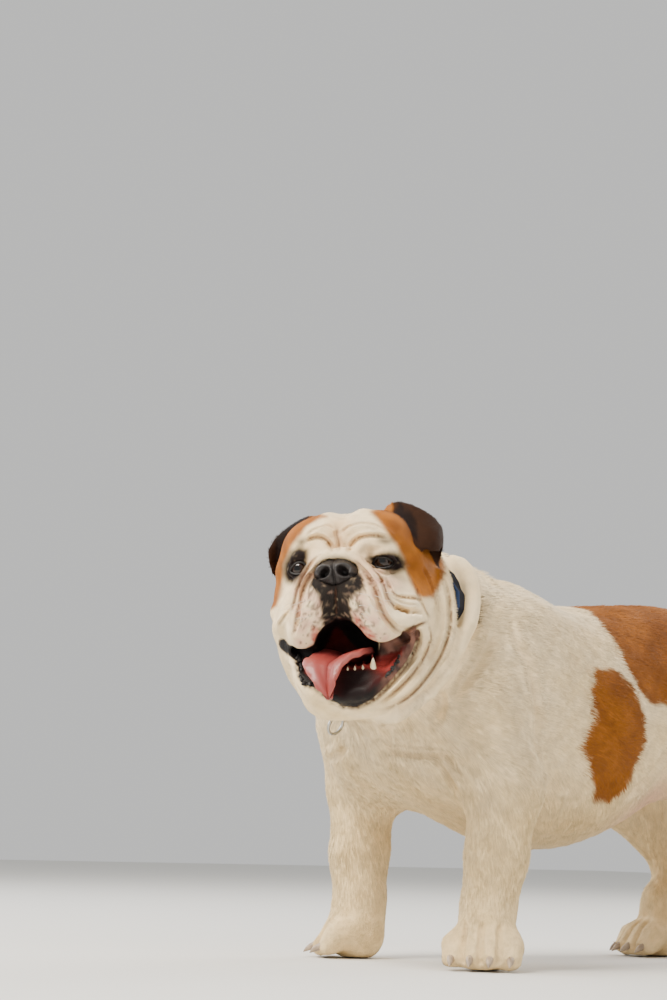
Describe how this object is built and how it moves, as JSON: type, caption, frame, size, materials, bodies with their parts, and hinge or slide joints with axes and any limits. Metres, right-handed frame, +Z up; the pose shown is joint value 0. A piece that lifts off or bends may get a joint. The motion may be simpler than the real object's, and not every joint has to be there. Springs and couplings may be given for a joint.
{
  "type": "english bulldog model",
  "caption": "Life-size still model of a standing English bulldog, head turned to its left with an open mouth and tongue out, wearing a collar.",
  "frame": {"origin": "on the floor, under the middle of the dog's box", "axes": "the dog faces -Y, its left side is +X, +Z is up"},
  "size_m": [0.3386, 0.7742, 0.5009],
  "materials": {
    "coat_white": "short, flat, cream-white coat with pink skin showing through",
    "coat_brown": "short, flat, orange-brown coat",
    "eye": "dark brown, wet, highly polished",
    "nose_leather": "black, pebbled, slightly moist",
    "tongue": "salmon pink, moist, finely papillate",
    "claw": "horn, dull",
    "tooth": "ivory enamel, glossy",
    "mouth_lining": "black and red, moist",
    "webbing": "dark navy woven webbing with a lighter blue edge",
    "fitting": "nickel-plated steel, lightly worn"
  },
  "bodies": {
    "root": {"head": "coat_white", "lower_jaw": "coat_white", "neck": "coat_white", "torso": "coat_white", "foreleg_left": "coat_white", "foreleg_right": "coat_white", "forepaw_left": "coat_white", "forepaw_right": "coat_white", "hindleg_left": "coat_white", "hindleg_right": "coat_white", "hindpaw_left": "coat_white", "hindpaw_right": "coat_white", "ear_left": "coat_brown", "ear_right": "coat_brown", "tail": "coat_brown", "eye_left": "eye", "eye_right": "eye", "nose": "nose_leather", "tongue": "tongue", "collar": "webbing", "collar_buckle": "fitting", "collar_ring": "fitting"}
  },
  "joints": []
}
